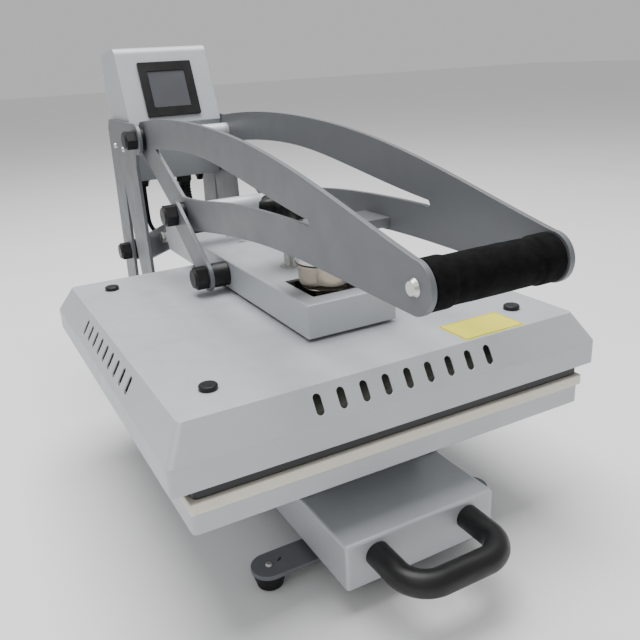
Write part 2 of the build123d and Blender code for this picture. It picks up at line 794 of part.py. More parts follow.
def make_magnet():
    """Locking electromagnet, the strap that carries it, and the pressure screw's bush."""
    inner = CHANNEL_X - CHANNEL_T
    strap_top = STRAP_Z + STRAP_T
    cup_bend = 8.0
    rim_t = 3.0
    with BuildPart() as magnet:
        with BuildSketch(Plane.YZ):
            with BuildLine():
                Polyline(
                    (MAGNET_Y, MAGNET_TOP),
                    (MAGNET_Y, strap_top),
                    (MAGNET_Y + 12, strap_top),
                    (MAGNET_Y + 12, MAGNET_BASE),
                    (MAGNET_Y + MAGNET_R - cup_bend, MAGNET_BASE),
                )
                TangentArc(
                    (MAGNET_Y + MAGNET_R - cup_bend, MAGNET_BASE),
                    (MAGNET_Y + MAGNET_R, MAGNET_BASE + cup_bend),
                    tangent=(1, 0),
                )
                Polyline(
                    (MAGNET_Y + MAGNET_R, MAGNET_BASE + cup_bend),
                    (MAGNET_Y + MAGNET_R, MAGNET_TOP - rim_t),
                    (MAGNET_Y + MAGNET_RIM_R, MAGNET_TOP - rim_t),
                    (MAGNET_Y + MAGNET_RIM_R, MAGNET_TOP - 0.8),
                    (MAGNET_Y + MAGNET_RIM_R - 0.8, MAGNET_TOP),
                    (MAGNET_Y, MAGNET_TOP),
                )
            make_face()
        revolve(axis=Axis((0, MAGNET_Y, 0), (0, 0, 1)))
        with BuildSketch(Plane.XY.offset(MAGNET_TOP)):
            with Locations((0, MAGNET_Y)):
                Circle(17)
                Circle(10.5, mode=Mode.SUBTRACT)
        extrude(amount=-1.2, mode=Mode.SUBTRACT)
    save(magnet, "electromagnet")

    with BuildPart() as strap:
        with BuildSketch(Plane.XY.offset(STRAP_Z)):
            with Locations((0, MAGNET_Y)):
                Rectangle(2 * inner, 34)
        extrude(amount=STRAP_T)
        for side in (-1, 1):
            with BuildSketch(Plane.XY.offset(STRAP_Z)):
                with Locations((side * (inner - 1.5), MAGNET_Y)):
                    Rectangle(3, 34)
            extrude(amount=22)
    save(strap, "magnet_bracket")

    with BuildPart() as bush:
        with BuildSketch(Plane.XY.offset(CHANNEL_TOP - CHANNEL_T - 8)):
            with Locations((0, SCREW_Y)):
                RegularPolygon(17, 6)
                Circle(SCREW_R + RUNNING, mode=Mode.SUBTRACT)
        extrude(amount=8)
        with BuildSketch(Plane.XY.offset(CHANNEL_TOP - CHANNEL_T)):
            with Locations((0, SCREW_Y)):
                Circle(9.8)
                Circle(SCREW_R + RUNNING, mode=Mode.SUBTRACT)
        extrude(amount=CHANNEL_T + 1)
    save(bush, "screw_bush")


# ================================ pressure knob =====================================================
def make_knob():
    """Lobed knob and the screw that it turns."""
    lobes = 6
    with BuildPart() as knob:
        with BuildSketch(Plane.XY.offset(KNOB_Z - 12)):
            with Locations((0, SCREW_Y)):
                Circle(24)
                with PolarLocations(21.5, lobes):
                    Circle(7.5)
        extrude(amount=22)
        fillet(knob.edges().group_by(Axis.Z)[-1], 3)
        with BuildSketch(Plane.XY.offset(KNOB_Z - 24)):
            with Locations((0, SCREW_Y)):
                Circle(14)
        extrude(amount=12)
        with BuildSketch(Plane.XY.offset(KNOB_Z - 24)):
            with Locations((0, SCREW_Y)):
                Circle(SCREW_R)
        extrude(amount=24, mode=Mode.SUBTRACT)
    save(knob, "pressure_knob")

    with BuildPart() as screw:
        with BuildSketch(Plane.XY.offset(SCREW_FOOT)):
            with Locations((0, SCREW_Y)):
                Circle(SCREW_R)
        extrude(amount=KNOB_Z - SCREW_FOOT)
    save(screw, "pressure_screw")


# ================================ heated platen =======================================================
def cover_slab(top_w, top_d, wide_w, wide_d, top_z, flank, skirt):
    """Block with leaning flanks over an upright skirt, in the current part."""
    with BuildSketch(Plane.XY.offset(top_z - flank)) as wide:
        with Locations((0, PLATEN_Y)):
            RectangleRounded(wide_w, wide_d, 5)
    with BuildSketch(Plane.XY.offset(top_z)) as top:
        with Locations((0, PLATEN_Y)):
            RectangleRounded(top_w, top_d, 5)
    loft([wide.sketch, top.sketch])
    extrude(wide.sketch, amount=-skirt)


def flank_plane(direction):
    """Plane on the middle of one leaning flank, facing out, with its x axis level."""
    along_x, along_y = direction
    lean = atan2(COVER_FLANK, COVER_INSET)
    reach_x = COVER_W / 2 - COVER_INSET / 2
    reach_y = COVER_D / 2 - COVER_INSET / 2
    origin = (along_x * reach_x, PLATEN_Y + along_y * reach_y, COVER_TOP - COVER_FLANK / 2)
    out = (along_x * sin(lean), along_y * sin(lean), cos(lean))
    return Plane(origin=origin, x_dir=(-along_y, along_x, 0), z_dir=out)


def make_cover():
    """Thin vented cover over the heated platen."""
    with BuildPart() as cover:
        cover_slab(COVER_W - 2 * COVER_INSET, COVER_D - 2 * COVER_INSET, COVER_W, COVER_D,
                   COVER_TOP, COVER_FLANK, COVER_SKIRT)
        floor = cover.faces().sort_by(Axis.Z)[0]
        offset(amount=-COVER_WALL, openings=floor)
        for direction in ((0, -1), (-1, 0), (1, 0)):
            with BuildSketch(flank_plane(direction)):
                with GridLocations(VENT_PITCH, 1, VENTS, 1):
                    SlotOverall(VENT_L, VENT_W, rotation=90)
            extrude(amount=5, both=True, mode=Mode.SUBTRACT)
        with BuildSketch(Plane.XY.offset(COVER_TOP - 5)):
            with Locations((0, SCREW_Y)):
                Circle(34)
            with Locations((0, PLATEN_Y)):
                with GridLocations(2 * POST_X, 2 * POST_Y, 2, 2):
                    Circle(4.2)
        extrude(amount=10, mode=Mode.SUBTRACT)
    save(cover, "heat_cover")

    with BuildPart() as plugs:
        with BuildSketch(Plane.XY.offset(COVER_TOP)):
            with Locations((0, PLATEN_Y)):
                with GridLocations(2 * POST_X, 2 * POST_Y, 2, 2):
                    Circle(PLUG_R)
        extrude(amount=PLUG_H)
        chamfer(plugs.edges().group_by(Axis.Z)[-1], 0.8)
        with BuildSketch(Plane.XY.offset(COVER_TOP)):
            with Locations((0, PLATEN_Y)):
                with GridLocations(2 * POST_X, 2 * POST_Y, 2, 2):
                    Circle(4)
        extrude(amount=-COVER_WALL)
    save(plugs, "cover_plugs")


def make_platen():
    """Heated plate, its element, insulation, posts to the cover and thrust plate."""
    platen_top = PLATEN_BOTTOM + PLATEN_T
    with BuildPart() as platen:
        with BuildSketch(Plane.XY.offset(PLATEN_BOTTOM)):
            with Locations((0, PLATEN_Y)):
                RectangleRounded(PLATEN_W, PLATEN_D, 4)
        extrude(amount=PLATEN_T)
        chamfer(platen.edges().group_by(Axis.Z)[0], 0.8)
        with BuildSketch(Plane.XY.offset(platen_top)):
            with Locations((0, PLATEN_Y)):
                Rectangle(PLATEN_W - 60, 8)
        extrude(amount=-2, mode=Mode.SUBTRACT)
    save(platen, "heat_platen")

    rows = 4
    row_pitch = 84.0
    row_half = 120.0
    element_z = platen_top + 4.1
    with BuildPart() as element:
        with BuildLine() as route:
            for row in range(rows):
                side = 1 if row % 2 == 0 else -1
                row_y = PLATEN_Y + (row - (rows - 1) / 2) * row_pitch
                Line((-side * row_half, row_y, element_z), (side * row_half, row_y, element_z))
                if row < rows - 1:
                    ThreePointArc(
                        (side * row_half, row_y, element_z),
                        (side * (row_half + row_pitch / 2), row_y + row_pitch / 2, element_z),
                        (side * row_half, row_y + row_pitch, element_z),
                    )
        start = route.wires()[0]
        with BuildSketch(Plane(origin=start @ 0, z_dir=start % 0)):
            Circle(4)
        sweep(path=start)
    save(element, "heating_element")

    with BuildPart() as board:
        with BuildSketch(Plane.XY.offset(platen_top + 9)):
            with Locations((0, PLATEN_Y)):
                Rectangle(PLATEN_W - 20, PLATEN_D - 20)
                with GridLocations(2 * POST_X, 2 * POST_Y, 2, 2):
                    Circle(9, mode=Mode.SUBTRACT)
            with Locations((0, SCREW_Y)):
                Circle(31, mode=Mode.SUBTRACT)
        extrude(amount=12)
    save(board, "insulation_board")

    with BuildPart() as posts:
        with BuildSketch(Plane.XY.offset(platen_top)):
            with Locations((0, PLATEN_Y)):
                with GridLocations(2 * POST_X, 2 * POST_Y, 2, 2):
                    RegularPolygon(8, 6)
        extrude(amount=COVER_TOP - COVER_WALL - platen_top)
    save(posts, "platen_posts")

    with BuildPart() as thrust:
        with BuildSketch(Plane.XY.offset(platen_top)):
            with Locations((0, SCREW_Y)):
                Circle(26)
        extrude(amount=STRAP_Z - platen_top)
        with BuildSketch(Plane.XY.offset(STRAP_Z)):
            with Locations((0, SCREW_Y)):
                Rectangle(2 * (CHANNEL_X - CHANNEL_T) - 2 * GAP, 70)
        extrude(amount=5)
    save(thrust, "pressure_plate")


# ================================ drawer and lower tray ================================================
def make_drawer():
    """Slide-out box that carries the lower tray, its pull, rails and beams."""
    height = DRAWER_TOP - DRAWER_BOTTOM
    with BuildPart() as drawer:
        with BuildSketch(Plane.XZ.offset(-DRAWER_REAR)):
            with Locations((0, DRAWER_BOTTOM)):
                Rectangle(2 * DRAWER_X, height, align=(Align.CENTER, Align.MIN))
        extrude(amount=DRAWER_REAR - DRAWER_FRONT)
        long_edges = drawer.edges().filter_by(Axis.Y).group_by(Axis.Z)[-1]
        front_top = drawer.edges().filter_by(Axis.X).group_by(Axis.Z)[-1].sort_by(Axis.Y)[0]
        front_sides = drawer.edges().filter_by(Axis.Z).group_by(Axis.Y)[0]
        fillet(long_edges + front_sides + [front_top], 3)
        with BuildSketch(Plane.XZ.offset(-DRAWER_REAR - 1)):
            with Locations((0, DRAWER_BOTTOM - 1)):
                Rectangle(2 * (DRAWER_X - DRAWER_T), height + 1 - DRAWER_T,
                          align=(Align.CENTER, Align.MIN))
        extrude(amount=DRAWER_REAR + 1 - DRAWER_FRONT - DRAWER_T, mode=Mode.SUBTRACT)
    save(drawer, "drawer_shell")

    pull_y = DRAWER_FRONT - PULL_REACH
    with BuildPart() as pull:
        with BuildLine() as route:
            FilletPolyline(
                (-PULL_X, DRAWER_FRONT, PULL_Z),
                (-PULL_X, pull_y, PULL_Z),
                (PULL_X, pull_y, PULL_Z),
                (PULL_X, DRAWER_FRONT, PULL_Z),
                radius=PULL_BEND,
            )
        with BuildSketch(Plane(origin=(-PULL_X, DRAWER_FRONT, PULL_Z), z_dir=(0, -1, 0))):
            Circle(PULL_R)
        sweep(path=route.wires()[0])
    save(pull, "drawer_handle")

    rail_front, rail_rear = -270.0, 110.0
    rail_mid = (rail_front + rail_rear) / 2
    with BuildPart() as outer:
        for side in (-1, 1):
            with BuildSketch(Plane.XZ.offset(-rail_mid)):
                with Locations((side * 56.5, BASE_TOP)):
                    Rectangle(3, 36, align=(Align.CENTER, Align.MIN))
                with Locations((side * 50, BASE_TOP)):
                    Rectangle(16, 3, align=(Align.CENTER, Align.MIN))
                with Locations((side * 62, 32.25), (side * 62, 56.75)):
                    Rectangle(9, 1.5)
            extrude(amount=(rail_rear - rail_front) / 2, both=True)
    save(outer, "slide_outer_rails")

    with BuildPart() as inner:
        for side in (-1, 1):
            with BuildSketch(Plane.XZ.offset(-rail_mid)):
                with Locations((side * (DRAWER_X - DRAWER_T - 0.75), 44.5)):
                    Rectangle(1.5, 18)
                with Locations((side * 66.5, 36.25), (side * 66.5, 52.75)):
                    Rectangle(13, 1.5)
            extrude(amount=(rail_rear - rail_front) / 2 - 4, both=True)
    save(inner, "slide_inner_rails")

    beam_top = TRAY_TOP - 4.0
    with BuildPart() as beams:
        for side in (-1, 1):
            with BuildSketch(Plane.XZ.offset(-PLATEN_Y)):
                with Locations((side * 52, DRAWER_TOP)):
                    Rectangle(3, beam_top - DRAWER_TOP, align=(Align.CENTER, Align.MIN))
                with Locations((side * 63.5, DRAWER_TOP), (side * 63.5, beam_top - 3)):
                    Rectangle(23, 3, align=(Align.CENTER, Align.MIN))
            extrude(amount=140, both=True)
    save(beams, "tray_beams")

    with BuildPart() as tray:
        with BuildSketch(Plane.XY.offset(TRAY_BOTTOM)):
            with Locations((0, PLATEN_Y)):
                RectangleRounded(PAD_W - 2, PLATEN_D, 4)
        extrude(amount=TRAY_H)
        with BuildSketch(Plane.XY.offset(TRAY_BOTTOM)):
            with Locations((0, PLATEN_Y)):
                RectangleRounded(PAD_W - 2 - 2 * TRAY_WALL, PLATEN_D - 2 * TRAY_WALL, 2)
        extrude(amount=TRAY_H - 4, mode=Mode.SUBTRACT)
    save(tray, "lower_tray")

    with BuildPart() as pad:
        with BuildSketch(Plane.XY.offset(TRAY_TOP)):
            with Locations((0, PLATEN_Y)):
                RectangleRounded(PAD_W, PLATEN_D + 7, 2)
        extrude(amount=PAD_T)
    save(pad, "silicone_pad")


# ================================ gas spring and leads ==================================================
def make_gas_spring():
    """Lifting gas spring: its cylinder, its rod and the bracket on the base."""
    reach = span(GAS_FOOT, GAS_HEAD)
    along = towards(GAS_FOOT, GAS_HEAD)
    tube_end = 112.0
    with BuildPart() as cylinder:
        with BuildSketch(side_plane(GAS_X - 5)):
            with Locations(GAS_FOOT):
                Circle(9)
        extrude(amount=10)
        with BuildSketch(along.offset(8)):
            with Locations((GAS_X, 0)):
                Circle(6)
        extrude(amount=8)
        with BuildSketch(along.offset(14)):
            with Locations((GAS_X, 0)):
                Circle(9)
        extrude(amount=tube_end - 14)
        with BuildSketch(along.offset(36)):
            with Locations((GAS_X, 0)):
                Circle(4.4)
        extrude(amount=tube_end - 36, mode=Mode.SUBTRACT)
        bore(60, GAS_FOOT, 4 + RUNNING)
    save(cylinder, "gas_cylinder")

    with BuildPart() as rod:
        with BuildSketch(along.offset(40)):
            with Locations((GAS_X, 0)):
                Circle(4)
        extrude(amount=reach - 40 - 6)
        with BuildSketch(side_plane(GAS_X - 5)):
            with Locations(GAS_HEAD):
                Circle(9.5)
        extrude(amount=10)
        bore(60, GAS_HEAD, 5.2)
    save(rod, "gas_rod")

    foot_y, foot_z = GAS_FOOT
    with BuildPart() as mount:
        with BuildSketch(Plane.XY.offset(BASE_TOP + 3)):
            with Locations((GAS_X, foot_y)):
                Rectangle(30, 34)
        extrude(amount=3)
        for side in (-1, 1):
            with BuildSketch(side_plane(GAS_X + side * 8)):
                with Locations((foot_y, BASE_TOP + 3)):
                    Rectangle(24, foot_z - BASE_TOP - 3, align=(Align.CENTER, Align.MIN))
                with Locations(GAS_FOOT):
                    Circle(12)
            extrude(amount=side * 3)
        with BuildSketch(side_plane(GAS_X - 14)):
            with Locations(GAS_FOOT):
                Circle(4)
        extrude(amount=28)
    save(mount, "gas_spring_mount")


def widest_bends(points):
    """For each corner of a route, the radius whose arc takes 0.45 of the shorter run."""
    places = [Vector(*point) for point in points]
    radii = []
    for before, corner, after in zip(places, places[1:], places[2:]):
        run_in, run_out = corner - before, after - corner
        turn = acos(run_in.normalized().dot(run_out.normalized()))
        radii.append(0.45 * min(run_in.length, run_out.length) / tan(turn / 2))
    return radii


def lead(name, points, outline_radius):
    """Flexible lead along straight runs with tangent bends."""
    bends = widest_bends(points)
    print(name, "bend radii", [round(radius, 1) for radius in bends])
    with BuildPart() as tube:
        with BuildLine() as route:
            FilletPolyline(*points, radius=bends)
        path = route.wires()[0]
        with BuildSketch(Plane(origin=path @ 0, z_dir=path % 0)):
            Circle(outline_radius)
        sweep(path=path)
    save(tube, name)


def make_leads():
    """Heater conduit and sensor lead from the box to the clamp on the arm."""
    lead("heater_conduit", CONDUIT, CONDUIT_R)
    lead("sensor_lead", SENSOR, SENSOR_R)
    _, clamp_y, clamp_z = CONDUIT[-1]
    with BuildPart() as clamp:
        with BuildSketch(Plane.XZ.offset(-clamp_y)):
            with Locations((0, clamp_z)):
                Rectangle(2 * (CHANNEL_X - CHANNEL_T - BRACKET_T), 22)
        extrude(amount=16)
        fillet(clamp.edges().filter_by(Axis.X), 2)
    save(clamp, "cable_clamp")


os.makedirs("parts", exist_ok=True)
make_base()
make_frame_screws()
make_uprights()
make_cross_brace()
make_axles()
make_control_box()
make_box_rear()
make_handle_plates()
make_handle_fittings()
make_links()
make_arm()
make_magnet()
make_knob()
make_cover()
make_platen()
make_drawer()
make_gas_spring()
make_leads()
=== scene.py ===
"""Studio scene of the heat press: finishes for its CAD nodes, and its soft, turned and flat pieces."""
import json
import math

import bmesh
import bpy
from mathutils import Matrix, Vector, noise


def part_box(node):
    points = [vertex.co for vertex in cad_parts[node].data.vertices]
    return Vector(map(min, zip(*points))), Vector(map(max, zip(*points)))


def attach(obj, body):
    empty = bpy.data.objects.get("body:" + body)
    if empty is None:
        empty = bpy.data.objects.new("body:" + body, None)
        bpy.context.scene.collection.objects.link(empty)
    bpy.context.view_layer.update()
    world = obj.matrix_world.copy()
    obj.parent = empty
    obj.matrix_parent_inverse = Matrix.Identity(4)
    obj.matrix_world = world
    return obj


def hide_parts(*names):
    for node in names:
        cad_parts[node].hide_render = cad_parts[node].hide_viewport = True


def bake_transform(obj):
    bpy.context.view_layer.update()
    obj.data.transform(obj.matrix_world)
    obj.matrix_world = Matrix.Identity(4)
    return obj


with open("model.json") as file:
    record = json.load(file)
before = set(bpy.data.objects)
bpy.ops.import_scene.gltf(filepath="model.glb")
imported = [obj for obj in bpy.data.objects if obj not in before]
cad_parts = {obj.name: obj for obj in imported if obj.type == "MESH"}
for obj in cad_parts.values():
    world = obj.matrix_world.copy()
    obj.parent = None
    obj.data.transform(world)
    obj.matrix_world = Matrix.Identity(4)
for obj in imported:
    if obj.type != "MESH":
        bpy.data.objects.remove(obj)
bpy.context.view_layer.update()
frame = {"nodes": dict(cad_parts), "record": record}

NODES = frame["nodes"]
MM = 0.001
TAU = 2 * math.pi

# Camera, solved for this view of the press (metres and degrees)
CAMERA_AT = (-0.2993, -0.6931, 0.4318)
CAMERA_AZIMUTH = -27.43
CAMERA_ELEVATION = 20.08
CAMERA_ROLL = -3.17
CAMERA_LENS = 40.1
CAMERA_SHIFT = (0.0048, -0.003)

# Routes, centres and label places shared with the CAD model, in millimetres but for SCREW_Y
SCREW_Y = -64 * MM
CONDUIT_ROUTE = [(14, 296, 271), (14, 296, 250), (6, 250, 223), (0, 186, 221), (0, 130, 221)]
SENSOR_ROUTE = [(-36, 328, 271), (-36, 328, 238), (-36, 324, 214), (-32, 296, 206), (-27, 262, 212),
                (-23, 225, 220), (-22, 178, 221), (-22, 130, 221)]
COVER_TOP_Z = 202.0
LABEL_X = (66.0, 132.0)
LABEL_Y = (-259.0, -219.0)
BOX_SIDE_X = -62.0
FILM_LIFT = 0.02          # gap under a film label

# Grip, pad and screw
GRIP_BORE = 12.6 * MM
GRIP_FLARE = 17 * MM      # length of each flared end
GRIP_STEP = 0.45 * MM
PAD_ROUND = 1.3 * MM
THREAD_DEPTH = 0.75 * MM
THREAD_PITCH = 2 * MM
RIB_PITCH = 4.2 * MM
CONDUIT_R = 8.4 * MM
SENSOR_R = 2.9 * MM

# Studio: floor, sky and lights as (name, place, size, power)
FLOOR_REACH = 14.0
SKY_STRENGTH = 0.56
LIGHTS = [("overhead", (0.0, 0.2, 2.3), 1.8, 84), ("key", (-1.5, -1.4, 1.7), 1.2, 5)]
BOX_STICKER = [(372, 424), (340, 406), (298, 369), (331, 388)]


# ================================ node helpers ==============================================
class Finish:
    """One procedural material and the few node patterns that the finishes share."""

    def __init__(self, name, colour, roughness=0.5, metallic=0.0):
        self.material = bpy.data.materials.new(name)
        self.material.use_nodes = True
        self.tree = self.material.node_tree
        self.shader = self.tree.nodes["Principled BSDF"]
        self.shader.inputs["Base Color"].default_value = (*colour, 1)
        self.shader.inputs["Roughness"].default_value = roughness
        self.shader.inputs["Metallic"].default_value = metallic
        self.place = self.add("ShaderNodeTexCoord").outputs["Object"]
        self.normal = None

    def add(self, kind, **inputs):
        """New node with some of its input sockets set or linked."""
        made = self.tree.nodes.new(kind)
        for key, value in inputs.items():
            self.feed(made.inputs[key.replace("_", " ")], value)
        return made

    def feed(self, socket, value):
        if isinstance(value, bpy.types.NodeSocket):
            self.tree.links.new(value, socket)
        else:
            socket.default_value = value

    def math(self, operation, a, b=0.0, clamp=False):
        made = self.tree.nodes.new("ShaderNodeMath")
        made.operation = operation
        made.use_clamp = clamp
        self.feed(made.inputs[0], a)
        self.feed(made.inputs[1], b)
        return made.outputs[0]

    def stretched(self, scale):
        """Object coordinates multiplied along each axis."""
        return self.add("ShaderNodeMapping", Vector=self.place, Scale=scale).outputs["Vector"]

    def noise(self, scale, detail=3.0, place=None, rough=0.55):
        made = self.add("ShaderNodeTexNoise", Vector=place or self.place, Scale=scale,
                        Detail=detail, Roughness=rough)
        return made.outputs["Fac"]

    def cells(self, scale):
        made = self.add("ShaderNodeTexVoronoi", Vector=self.place, Scale=scale)
        return made.outputs["Distance"]

    def ranged(self, value, low, high, out_low=0.0, out_high=1.0):
        made = self.add("ShaderNodeMapRange", Value=value)
        for key, number in zip(("From Min", "From Max", "To Min", "To Max"),
                               (low, high, out_low, out_high)):
            made.inputs[key].default_value = number
        return made.outputs["Result"]

    def mix(self, factor, a, b):
        """Colour between a and b."""
        made = self.tree.nodes.new("ShaderNodeMix")
        made.data_type = "RGBA"
        sockets = [s for s in made.inputs if s.type == "RGBA"]
        self.feed(made.inputs[0], factor)
        self.feed(sockets[0], (*a, 1) if isinstance(a, tuple) else a)
        self.feed(sockets[1], (*b, 1) if isinstance(b, tuple) else b)
        return [s for s in made.outputs if s.type == "RGBA"][0]

    def edges(self, radius):
        """Mask that is 1 along sharp edges, from a rounded normal against the true one."""
        bevel = self.tree.nodes.new("ShaderNodeBevel")
        bevel.samples = 6
        bevel.inputs["Radius"].default_value = radius
        self.normal = bevel.outputs["Normal"]
        true_normal = self.add("ShaderNodeNewGeometry").outputs["True Normal"]
        dot = self.tree.nodes.new("ShaderNodeVectorMath")
        dot.operation = "DOT_PRODUCT"
        self.tree.links.new(self.normal, dot.inputs[0])
        self.tree.links.new(true_normal, dot.inputs[1])
        return self.ranged(dot.outputs["Value"], 0.995, 0.8)

    def bump(self, height, strength, distance):
        made = self.add("ShaderNodeBump", Height=height, Strength=strength, Distance=distance)
        if self.normal is not None:
            self.tree.links.new(self.normal, made.inputs["Normal"])
        self.normal = made.outputs["Normal"]

    def done(self, colour=None, roughness=None):
        """Link what varies over the surface and return the material."""
        if colour is not None:
            self.feed(self.shader.inputs["Base Color"], colour)
        if roughness is not None:
            self.feed(self.shader.inputs["Roughness"], roughness)
        if self.normal is not None:
            self.tree.links.new(self.normal, self.shader.inputs["Normal"])
        return self.material


def shade(colour, factor):
    return tuple(min(1.0, part * factor) for part in colour)


# ================================ finishes ====================================================
def powder_coat(name, colour, metallic=0.25, roughness=0.42, grain=1500, edge_light=1.35):
    """Fine-textured silver powder coat: flake sparkle, orange peel, and edges made lighter by patchy
    wear plus a painted highlight (edge_light).
    """
    f = Finish(name, colour, roughness, metallic)
    # Edge mask, patchy by noise: wear plus a painted edge highlight, mixed into the colour below.
    edge_wear_and_highlight = f.math("MULTIPLY", f.edges(0.9 * MM), f.ranged(f.noise(90, 4), 0.35, 0.75, 0.25, 1.0))
    cloud = f.mix(f.ranged(f.noise(7, 4), 0.3, 0.7), shade(colour, 0.955), shade(colour, 1.04))
    flakes = f.ranged(f.cells(2600), 0.15, 0.5)
    speckled = f.mix(f.math("MULTIPLY", flakes, 0.16), cloud, shade(colour, 0.62))
    toned = f.mix(f.math("MULTIPLY", edge_wear_and_highlight, 0.6), speckled, shade(colour, edge_light))
    f.bump(f.noise(grain, 2), 0.16, 0.25 * MM)
    f.bump(f.noise(260, 2), 0.05, 0.6 * MM)
    rough = f.ranged(f.noise(40, 4), 0.3, 0.7, roughness - 0.05, roughness + 0.08)
    return f.done(toned, rough)


def moulded(name, colour, roughness=0.42, grain=1800, depth=0.12, sheen=0.4):
    """Moulded plastic or rubber with a fine spark-eroded grain, dusty patches, and sharp edges made
    lighter by rubbing wear plus a painted edge highlight.
    """
    f = Finish(name, colour, roughness)
    f.shader.inputs["Specular IOR Level"].default_value = sheen
    edge_wear_and_highlight = f.edges(0.8 * MM)
    dusty = f.ranged(f.noise(55, 5), 0.5, 0.8, 0.0, 0.3)
    toned = f.mix(dusty, colour, shade(colour, 1.7))
    # Every sharp edge lightened: rubbing wear and a painted edge highlight.
    rubbed_and_highlit = f.mix(f.math("MULTIPLY", edge_wear_and_highlight, 0.5), toned, shade(colour, 3.6))
    f.bump(f.noise(grain, 3), depth, 0.2 * MM)
    rough = f.ranged(f.noise(70, 4), 0.3, 0.75, roughness - 0.08, roughness + 0.12)
    return f.done(rubbed_and_highlit, rough)


def metal(name, colour, roughness, stretch=(60, 60, 900), stain=0.12):
    """Bright metal with fine tool marks stretched along one axis and faint stains."""
    f = Finish(name, colour, roughness, 1.0)
    f.edges(0.4 * MM)
    marks = f.noise(1.0, 4, f.stretched(stretch), 0.7)
    stains = f.ranged(f.noise(45, 5), 0.5, 0.85, 0.0, stain * 3)
    toned = f.mix(stains, colour, shade(colour, 0.55))
    f.bump(marks, 0.12, 0.08 * MM)
    rough = f.ranged(marks, 0.25, 0.75, roughness - 0.06, roughness + 0.1)
    return f.done(toned, rough)


def foam_skin(name, colour):
    """Closed-cell foam: dull, with a fine irregular pebble and pin-hole pores."""
    f = Finish(name, colour, 0.93)
    f.shader.inputs["Specular IOR Level"].default_value = 0.12
    pores = f.ranged(f.cells(950), 0.05, 0.4)
    tone = f.mix(f.ranged(f.noise(160, 5), 0.35, 0.7), shade(colour, 0.7), shade(colour, 1.9))
    f.bump(pores, 0.35, 0.25 * MM)
    f.bump(f.noise(420, 4), 0.3, 0.35 * MM)
    return f.done(tone, f.ranged(f.noise(120, 3), 0.3, 0.7, 0.84, 0.98))


def silicone_skin(name, colour):
    """Cream silicone sponge with a soft glow, fine cells and slightly soiled patches."""
    f = Finish(name, colour, 0.72)
    f.shader.inputs["Subsurface Weight"].default_value = 0.12
    f.shader.inputs["Subsurface Radius"].default_value = (0.004, 0.003, 0.002)
    f.shader.inputs["Subsurface Scale"].default_value = 1.0
    soil = f.ranged(f.noise(26, 6), 0.5, 0.8, 0.0, 0.5)
    cells = f.ranged(f.cells(1400), 0.0, 0.45)
    base = f.mix(soil, colour, shade(colour, 0.8))
    tone = f.mix(f.math("MULTIPLY", cells, 0.22), base, shade(colour, 0.7))
    f.bump(cells, 0.3, 0.18 * MM)
    f.bump(f.noise(300, 4), 0.12, 0.4 * MM)
    return f.done(tone, f.ranged(f.noise(90, 3), 0.3, 0.7, 0.62, 0.82))


def coated_platen(name):
    """Black non-stick coating with faint rub marks."""
    f = Finish(name, (0.012, 0.012, 0.013), 0.5)
    f.edges(0.6 * MM)
    rubs = f.ranged(f.noise(1.0, 5, f.stretched((12, 140, 30))), 0.5, 0.8)
    tone = f.mix(f.math("MULTIPLY", rubs, 0.4), (0.01, 0.01, 0.011), (0.045, 0.044, 0.043))
    f.bump(f.noise(1200, 3), 0.15, 0.15 * MM)
    return f.done(tone, f.ranged(rubs, 0, 1, 0.45, 0.62))


def display_glass(name):
    """Smooth dark-grey display window with a faint backlight mottling and finger marks."""
    f = Finish(name, (0.075, 0.078, 0.088), 0.18)
    f.shader.inputs["Coat Weight"].default_value = 0.35
    f.shader.inputs["Coat Roughness"].default_value = 0.06
    smear = f.ranged(f.noise(38, 5), 0.45, 0.75)
    tone = f.mix(f.ranged(f.noise(16, 2), 0.3, 0.7), (0.07, 0.073, 0.082), (0.09, 0.094, 0.105))
    return f.done(tone, f.ranged(smear, 0, 1, 0.14, 0.3))


def fibre_board(name, colour):
    f = Finish(name, colour, 0.95)
    fibres = f.noise(1.0, 6, f.stretched((900, 120, 900)), 0.7)
    tone = f.mix(f.ranged(fibres, 0.35, 0.7), shade(colour, 0.7), shade(colour, 1.05))
    f.bump(fibres, 0.5, 0.5 * MM)
    return f.done(tone)


def printed(name, colour, roughness=0.45):
    """Printed vinyl film: nearly even colour with a faint emboss and scuffs."""
    f = Finish(name, colour, roughness)
    scuff = f.ranged(f.noise(150, 5), 0.55, 0.8, 0.0, 0.35)
    tone = f.mix(scuff, colour, shade(colour, 0.8))
    f.bump(f.noise(900, 2), 0.08, 0.1 * MM)
    return f.done(tone, f.ranged(f.noise(60, 3), 0.3, 0.7, roughness - 0.07, roughness + 0.08))


PANEL_GREY = (0.50, 0.52, 0.545)
PLATE_GREY = (0.17, 0.178, 0.19)
BLACK = (0.006, 0.006, 0.0065)

